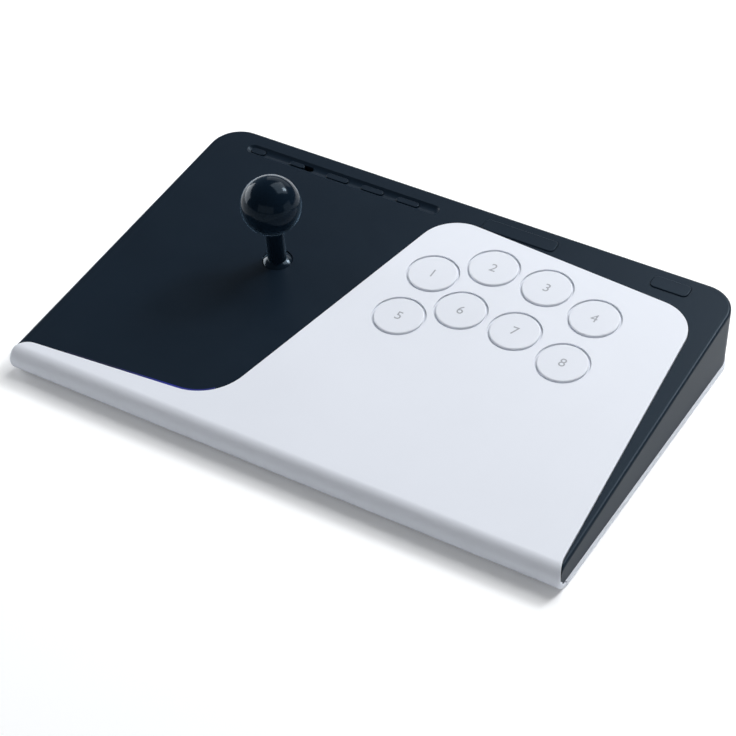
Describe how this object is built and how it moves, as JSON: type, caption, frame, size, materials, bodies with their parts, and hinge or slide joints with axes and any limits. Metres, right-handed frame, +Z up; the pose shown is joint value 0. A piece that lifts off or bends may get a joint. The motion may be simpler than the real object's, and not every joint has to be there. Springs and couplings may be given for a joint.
{
  "type": "arcade stick",
  "caption": "Low wedge arcade stick controller with a ball-top lever on a dark panel, round push buttons on a white faceplate that wraps the front edge, and small keys along the back.",
  "frame": {"origin": "middle of the footprint, on the floor below the rubber feet", "axes": "+X to the player's right, +Y away from the player, +Z up"},
  "size_m": [0.346, 0.2246, 0.0894],
  "materials": {
    "case_dark": "fine texture, satin",
    "face_white": "smooth satin",
    "base_white": "smooth satin",
    "foot_rubber": "matt",
    "light_blue": "clear diffuser, lit",
    "cap_white": "smooth satin",
    "switch_black": "satin",
    "board_green": "solder mask",
    "cell_wrap": "film wrap",
    "socket_steel": "plated",
    "screw_steel": "dark plated",
    "key_dark": "satin",
    "ball_black": "polished",
    "sleeve_black": "polished",
    "shaft_steel": "ground",
    "works_black": "moulded"
  },
  "bodies": {
    "case": {"top_housing": "case_dark", "faceplate": "face_white", "bottom_cover": "base_white", "foot_front": "foot_rubber", "foot_back": "foot_rubber", "light_guide": "light_blue", "lever_bracket": "works_black", "restrictor_gate": "works_black", "lever_board": "board_green", "lever_switch_right": "switch_black", "lever_switch_back": "switch_black", "lever_switch_left": "switch_black", "lever_switch_front": "switch_black", "button_switch_1": "switch_black", "button_switch_2": "switch_black", "button_switch_3": "switch_black", "button_switch_4": "switch_black", "button_switch_5": "switch_black", "button_switch_6": "switch_black", "button_switch_7": "switch_black", "button_switch_8": "switch_black", "button_board": "board_green", "key_board": "board_green", "battery_pack": "cell_wrap", "charge_socket": "socket_steel", "case_screws": "screw_steel", "lever_screws": "screw_steel", "board_screws": "screw_steel"},
    "gimbal": {"gimbal_ring": "works_black"},
    "lever": {"ball_top": "ball_black", "lever_shaft": "shaft_steel", "shaft_sleeve": "sleeve_black", "pivot_dome": "sleeve_black", "cross_pin": "shaft_steel", "lever_actuator": "works_black", "shaft_clip": "shaft_steel", "return_spring": "shaft_steel"},
    "button_1": {"button_cap_1": "cap_white"},
    "button_2": {"button_cap_2": "cap_white"},
    "button_3": {"button_cap_3": "cap_white"},
    "button_4": {"button_cap_4": "cap_white"},
    "button_5": {"button_cap_5": "cap_white"},
    "button_6": {"button_cap_6": "cap_white"},
    "button_7": {"button_cap_7": "cap_white"},
    "button_8": {"button_cap_8": "cap_white"},
    "home_press_key": {"home_key": "key_dark"},
    "pill_press_key_1": {"pill_key_1": "key_dark"},
    "pill_press_key_2": {"pill_key_2": "key_dark"},
    "pill_press_key_3": {"pill_key_3": "key_dark"},
    "wide_press_key": {"wide_key": "key_dark"},
    "menu_press_key": {"menu_key": "key_dark"},
    "slider": {"slide_knob": "key_dark"}
  },
  "joints": [
    {"name": "lever_forward_back", "type": "hinge", "parent": "case", "child": "gimbal", "pos_m": [-0.0775, 0.02096, 0.0207], "axis": [1, 0, 0], "range_deg": [-10, 10], "stiffness_Nm_per_rad": 0.6},
    {"name": "lever_left_right", "type": "hinge", "parent": "gimbal", "child": "lever", "pos_m": [-0.0775, 0.02096, 0.0207], "axis": [0, 0.9935, 0.1141], "range_deg": [-10, 10], "stiffness_Nm_per_rad": 0.6},
    {"name": "button_1_press", "type": "slide", "parent": "case", "child": "button_1", "axis": [0, 0.1141, -0.9935], "range_m": [0, 0.0024], "stiffness_N_per_m": 200, "springref_m": -0.002},
    {"name": "button_2_press", "type": "slide", "parent": "case", "child": "button_2", "axis": [0, 0.1141, -0.9935], "range_m": [0, 0.0024], "stiffness_N_per_m": 200, "springref_m": -0.002},
    {"name": "button_3_press", "type": "slide", "parent": "case", "child": "button_3", "axis": [0, 0.1141, -0.9935], "range_m": [0, 0.0024], "stiffness_N_per_m": 200, "springref_m": -0.002},
    {"name": "button_4_press", "type": "slide", "parent": "case", "child": "button_4", "axis": [0, 0.1141, -0.9935], "range_m": [0, 0.0024], "stiffness_N_per_m": 200, "springref_m": -0.002},
    {"name": "button_5_press", "type": "slide", "parent": "case", "child": "button_5", "axis": [0, 0.1141, -0.9935], "range_m": [0, 0.0024], "stiffness_N_per_m": 200, "springref_m": -0.002},
    {"name": "button_6_press", "type": "slide", "parent": "case", "child": "button_6", "axis": [0, 0.1141, -0.9935], "range_m": [0, 0.0024], "stiffness_N_per_m": 200, "springref_m": -0.002},
    {"name": "button_7_press", "type": "slide", "parent": "case", "child": "button_7", "axis": [0, 0.1141, -0.9935], "range_m": [0, 0.0024], "stiffness_N_per_m": 200, "springref_m": -0.002},
    {"name": "button_8_press", "type": "slide", "parent": "case", "child": "button_8", "axis": [0, 0.1141, -0.9935], "range_m": [0, 0.0024], "stiffness_N_per_m": 200, "springref_m": -0.002},
    {"name": "home_key_press", "type": "slide", "parent": "case", "child": "home_press_key", "axis": [0, 0.1141, -0.9935], "range_m": [0, 0.0008], "stiffness_N_per_m": 400, "springref_m": -0.001},
    {"name": "pill_key_1_press", "type": "slide", "parent": "case", "child": "pill_press_key_1", "axis": [0, 0.1141, -0.9935], "range_m": [0, 0.0008], "stiffness_N_per_m": 400, "springref_m": -0.001},
    {"name": "pill_key_2_press", "type": "slide", "parent": "case", "child": "pill_press_key_2", "axis": [0, 0.1141, -0.9935], "range_m": [0, 0.0008], "stiffness_N_per_m": 400, "springref_m": -0.001},
    {"name": "pill_key_3_press", "type": "slide", "parent": "case", "child": "pill_press_key_3", "axis": [0, 0.1141, -0.9935], "range_m": [0, 0.0008], "stiffness_N_per_m": 400, "springref_m": -0.001},
    {"name": "wide_key_press", "type": "slide", "parent": "case", "child": "wide_press_key", "axis": [0, 0.1141, -0.9935], "range_m": [0, 0.0008], "stiffness_N_per_m": 400, "springref_m": -0.001},
    {"name": "menu_key_press", "type": "slide", "parent": "case", "child": "menu_press_key", "axis": [0, 0.1141, -0.9935], "range_m": [0, 0.0008], "stiffness_N_per_m": 400, "springref_m": -0.001},
    {"name": "slide_switch", "type": "slide", "parent": "case", "child": "slider", "axis": [1, 0, 0], "range_m": [0, 0.006]}
  ]
}
